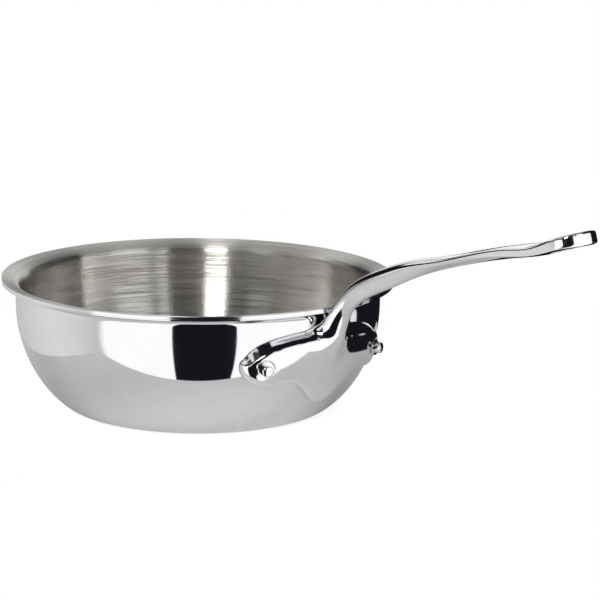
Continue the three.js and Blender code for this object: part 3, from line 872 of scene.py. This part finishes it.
# Studio
# A small pale plinth, a white background, and plain light and dark cards round about, which the polished
# steel mirrors. Directions are in degrees, to the right of the camera and up from level.
camera = bpy.data.objects.new("camera", bpy.data.cameras.new("camera"))
bpy.context.collection.objects.link(camera)
camera.location = (0.9418, -0.8421, 0.3290)
camera.rotation_euler = (math.radians(77.888), math.radians(-0.821), math.radians(45.823))
camera.data.lens = 139.87
camera.data.sensor_width = 36.0
bpy.context.scene.camera = camera
CAMERA_TURN = math.radians(-41.8)


def glow(name, colour, strength):
    """A card's own even light."""
    finish = bpy.data.materials.new(name)
    finish.use_nodes = True
    tree = finish.node_tree
    tree.nodes.remove(tree.nodes["Principled BSDF"])
    light = node(tree, "ShaderNodeEmission", {"Color": (*colour, 1.0), "Strength": strength})
    tree.links.new(light.outputs[0], tree.nodes["Material Output"].inputs["Surface"])
    return finish


CARD_AWAY = 1.15
CARD_FACET = 4


def card(name, left, right, low, high, finish, away=CARD_AWAY):
    """A curved card that faces the pan, seen only in reflections."""
    wide = max(2, int((right - left) / CARD_FACET) + 1)
    tall = max(2, int((high - low) / CARD_FACET) + 1)
    across = np.radians(np.linspace(left, right, wide)) + CAMERA_TURN
    turn, lift = np.meshgrid(across, np.radians(np.linspace(low, high, tall)))
    points = np.stack([np.cos(lift) * np.cos(turn), np.cos(lift) * np.sin(turn), np.sin(lift)], axis=-1)
    points = away * points.reshape(-1, 3)
    faces = [
        (j * wide + i, j * wide + i + 1, (j + 1) * wide + i + 1, (j + 1) * wide + i)
        for j in range(tall - 1)
        for i in range(wide - 1)
    ]
    mesh = bpy.data.meshes.new(name)
    mesh.from_pydata(points.tolist(), [], faces)
    mesh.materials.append(finish)
    made = bpy.data.objects.new(name, mesh)
    bpy.context.collection.objects.link(made)
    made.visible_camera = made.visible_diffuse = made.visible_shadow = False
    return made


# The tints and strengths of the cards' own light
CARD_FINISHES = {
    "black": glow("black_card", (0.6, 0.6, 0.85), 0.016),
    "brown": glow("brown_card", (1.0, 0.96, 0.90), 0.05),
    "slate": glow("slate_card", (0.92, 0.97, 1.0), 0.07),
    "cool": glow("cool_card", (0.94, 0.97, 1.0), 1.25),
    "beige": glow("beige_card", (1.0, 0.92, 0.83), 0.45),
    "soft": glow("soft_card", (0.94, 0.97, 1.0), 0.95),
    "dark": glow("dark_card", (0.94, 0.97, 1.0), 0.25),
    "dull": glow("dull_card", (1.0, 1.0, 1.0), 0.72),
    "grey": glow("grey_card", (1.0, 1.0, 1.0), 0.82),
    "pale": glow("pale_card", (1.0, 1.0, 1.0), 0.95),
    "white": glow("white_card", (1.0, 1.0, 1.0), 1.35),
    "lamp": glow("lamp_card", (1.0, 1.0, 1.0), 6.5),
    "ceiling": glow("ceiling_card", (1.0, 1.0, 1.0), 0.45),
}
# Each card's finish, its left and right sides, and its lower and upper edges
CARDS = [
    ("white", -58, -15, -75, 12),
    ("white", 22, 88, -75, 24),
    ("black", 88, 106, -45, 2),
    ("black", 106, 113, -45, -13),
    ("black", 106, 113, -8, 2),
    ("black", 113, 188, -45, 2),
    ("grey", -185, -165, 6, 34),
    ("black", -165, -98, 6, 34),
    ("slate", -98, -90, 2, 52),
    ("slate", -90, -72, 2, 20),
    ("beige", -90, -72, 20, 52),
    ("slate", -72, -62, 2, 52),
    ("slate", -62, -20, 12, 36),
    ("pale", -60, -42, 36, 52),
    ("slate", -42, -20, 36, 52),
    ("lamp", -20, -5.8, 12, 52),
    ("brown", -5.8, 22.5, 12, 52),
    ("soft", 22.5, 31, 24, 52),
    ("dark", 31, 39, 24, 52),
    ("cool", 39, 68, 24, 52),
    ("brown", 68, 88, 24, 52),
    ("black", 88, 150, 2, 52),
    ("dull", 150, 175, 12, 40),
    ("black", -30, 100, 52, 76),
    ("ceiling", 100, 330, 52, 76),
    ("ceiling", -180, 180, 76, 90),
]
for count, (finish, left, right, low, high) in enumerate(CARDS):
    card(f"{finish}_card_{count}", left, right, low, high, CARD_FINISHES[finish])

# A nearer black screen in front of the pan, which the wall and the grip's end both mirror
SCREEN_AWAY = 0.62
card("black_screen", -14.5, 21.8, -75, 24, CARD_FINISHES["black"], away=SCREEN_AWAY)

# A low card round the left side, in strips: sides of each stretch, and its strength from left to right
GRADED = [
    (-168, -146, 0.55, 0.68),
    (-146, -120, 0.68, 0.84),
    (-120, -98, 0.84, 0.92),
    (-98, -80, 0.92, 0.86),
    (-80, -62, 0.86, 0.72),
    (-62, -58, 0.72, 1.35),
]
STRIP = 2
for left, right, first, last in GRADED:
    strips = max(2, (right - left) // STRIP)
    for count in range(strips):
        side = left + (right - left) * count / strips
        name = f"graded_card_{side:.0f}"
        shade = glow(name, (1.0, 1.0, 1.0), first + (last - first) * (count + 0.5) / strips)
        card(name, side, side + (right - left) / strips, -75, 2, shade)

# The plinth's corners to the right and back of the pan, seen from the camera. It is white to the camera,
# and in the steel it glows with a painted pool of light in front of the pan, which fades away from there, and
# towards the back it dims to painted shade under the pan.
PLINTH = [(-148, -130), (172, -130), (172, 170), (-148, 170)]
PLINTH_TURN = math.radians(48.2)
PLINTH_DROP = 0.2
PLINTH_GREY = 0.62
PLINTH_SEEN = 0.74
# Where the painted pool of light is brightest, how it falls off with distance, and its dimming to painted
# shade towards the back
GLOW_MIDDLE = (15.0, -40.0)
GLOW_RANGE = {"From Min": 30 * MM, "From Max": 115 * MM, "To Min": 0.37, "To Max": 0.10}
BACK_FADE = {"From Min": -60 * MM, "From Max": -25 * MM, "To Min": 1.0, "To Max": 0.2}
to_right = np.array([math.cos(PLINTH_TURN), math.sin(PLINTH_TURN), 0.0])
to_back = np.array([-math.sin(PLINTH_TURN), math.cos(PLINTH_TURN), 0.0])
down = np.array([0.0, 0.0, -PLINTH_DROP])
plinth_mesh = bpy.data.meshes.new("plinth")
plinth_corners = [tuple((x * to_right + y * to_back + down) * MM) for x, y in PLINTH]
plinth_mesh.from_pydata(plinth_corners, [], [(0, 1, 2, 3)])
plinth = bpy.data.objects.new("plinth", plinth_mesh)
bpy.context.collection.objects.link(plinth)
pale = bpy.data.materials.new("pale_plinth")
pale.use_nodes = True
tree = pale.node_tree
shader = tree.nodes["Principled BSDF"]
shader.inputs["Base Color"].default_value = (PLINTH_GREY, PLINTH_GREY, PLINTH_GREY, 1.0)
shader.inputs["Roughness"].default_value = 0.9
shader.inputs["Emission Color"].default_value = (1.0, 1.0, 1.0, 1.0)
path = tree.nodes.new("ShaderNodeLightPath")
place = tree.nodes.new("ShaderNodeTexCoord").outputs["Object"]
middle = tuple((GLOW_MIDDLE[0] * to_right + GLOW_MIDDLE[1] * to_back) * MM)
away = node(tree, "ShaderNodeVectorMath", {0: place, 1: middle}, operation="DISTANCE").outputs["Value"]
back = node(tree, "ShaderNodeVectorMath", {0: place, 1: tuple(to_back)}, operation="DOT_PRODUCT")
fade = node(tree, "ShaderNodeMapRange", {"Value": back.outputs["Value"], **BACK_FADE}).outputs[0]
shine = {"Value": away, **GLOW_RANGE}
shine = node(tree, "ShaderNodeMapRange", shine, interpolation_type="SMOOTHSTEP").outputs[0]
# The painted pool of light and painted shade, seen only by glossy rays
mirrored = calc(tree, "MULTIPLY", calc(tree, "MULTIPLY", shine, fade), path.outputs["Is Glossy Ray"])
seen = calc(tree, "MULTIPLY", path.outputs["Is Camera Ray"], PLINTH_SEEN)
tree.links.new(calc(tree, "ADD", seen, mirrored), shader.inputs["Emission Strength"])
plinth_mesh.materials.append(pale)

# A soft light from the left front, for the plinth's shadow
KEY_AWAY = 1.2
KEY_HEIGHT = 1.0
key_turn = math.radians(-60) + CAMERA_TURN
key = bpy.data.objects.new("key_light", bpy.data.lights.new("key_light", "AREA"))
key.data.shape = "DISK"
key.data.size = 0.8
key.data.energy = 6.0
key.location = (KEY_AWAY * math.cos(key_turn), KEY_AWAY * math.sin(key_turn), KEY_HEIGHT)
key.rotation_euler = (math.atan2(KEY_AWAY, KEY_HEIGHT), 0.0, key_turn + math.pi / 2)
key.visible_glossy = False
bpy.context.collection.objects.link(key)

# A white world, a fifth dimmer where it lights plain surfaces
WORLD_DIMMER = 0.2
world = bpy.data.worlds.new("studio")
world.use_nodes = True
tree = world.node_tree
path = tree.nodes.new("ShaderNodeLightPath")
dimmed = calc(tree, "MULTIPLY", path.outputs["Is Diffuse Ray"], WORLD_DIMMER)
tree.links.new(calc(tree, "SUBTRACT", 1.0, dimmed), tree.nodes["Background"].inputs["Strength"])
tree.nodes["Background"].inputs["Color"].default_value = (1.0, 1.0, 1.0, 1.0)
bpy.context.scene.world = world
bpy.context.scene.view_settings.view_transform = "Standard"
